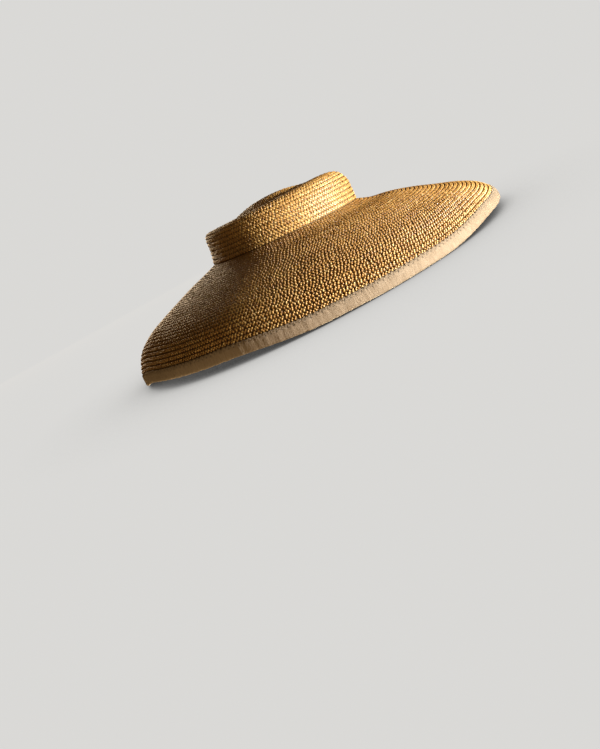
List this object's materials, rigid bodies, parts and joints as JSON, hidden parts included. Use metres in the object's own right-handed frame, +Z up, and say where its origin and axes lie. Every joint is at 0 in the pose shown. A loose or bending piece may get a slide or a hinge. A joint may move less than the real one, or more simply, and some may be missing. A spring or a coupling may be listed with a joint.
{
  "type": "tilt hat",
  "caption": "Woman's straw tilt hat with a wide rolled-down platter brim, a small shallow crown and a ribbon-bound edge.",
  "frame": {"origin": "centre of the round edge of the brim, on the surface that the hat rests on", "axes": "+Z up through the crown, -X towards the side that is worn low, -Y towards the side that faces forward"},
  "size_m": [0.42, 0.42, 0.116],
  "materials": {
    "straw": "sewn straw braid, slightly glossy",
    "ribbon": "matt ribbed grosgrain"
  },
  "bodies": {
    "root": {"crown": "straw", "brim": "straw", "edge_binding": "ribbon"}
  },
  "joints": []
}
